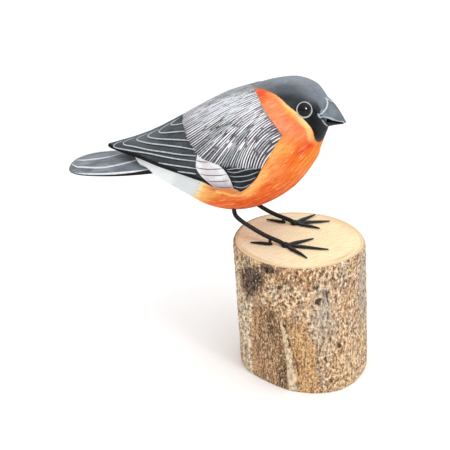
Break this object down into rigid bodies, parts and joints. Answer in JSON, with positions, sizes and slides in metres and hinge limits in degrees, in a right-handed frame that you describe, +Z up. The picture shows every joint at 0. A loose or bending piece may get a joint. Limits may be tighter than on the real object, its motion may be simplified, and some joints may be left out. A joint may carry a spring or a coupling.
{
  "type": "carved wooden bullfinch ornament",
  "caption": "Life-size bullfinch carved in wood and hand painted, on black wire legs with flattened toes, fixed to a short upright length of log.",
  "frame": {"origin": "middle of the log's sawn underside, on the surface that the ornament stands on", "axes": "+X the way the bird looks, +Z up, the bird's right side faces -Y"},
  "size_m": [0.1611, 0.07, 0.1573],
  "materials": {
    "painted_breast": "carved wood, orange paint brushed along the feathers, white under the tail, satin",
    "painted_cap": "carved wood, black and slate paint, satin",
    "painted_bill": "carved wood, slate grey paint with a pale edge line, satin",
    "eye_bead": "glossy black bead",
    "painted_wing": "carved wood, grey mauve back with pale strokes, slate feathers with pale edges, satin",
    "painted_tail": "carved wood, slate paint with pale feather edges, satin",
    "black_wire": "black painted steel wire, semi gloss",
    "bark_and_cut_wood": "rough brown and grey bark, pale sawn top, matt"
  },
  "bodies": {
    "root": {"torso": "painted_breast", "head": "painted_cap", "bill_upper": "painted_bill", "bill_lower": "painted_bill", "eye_right": "eye_bead", "eye_left": "eye_bead", "wing_right": "painted_wing", "wing_left": "painted_wing", "tail": "painted_tail", "leg_right": "black_wire", "leg_left": "black_wire", "foot_right": "black_wire", "foot_left": "black_wire", "hind_toe_right": "black_wire", "hind_toe_left": "black_wire", "log": "bark_and_cut_wood"}
  },
  "joints": []
}
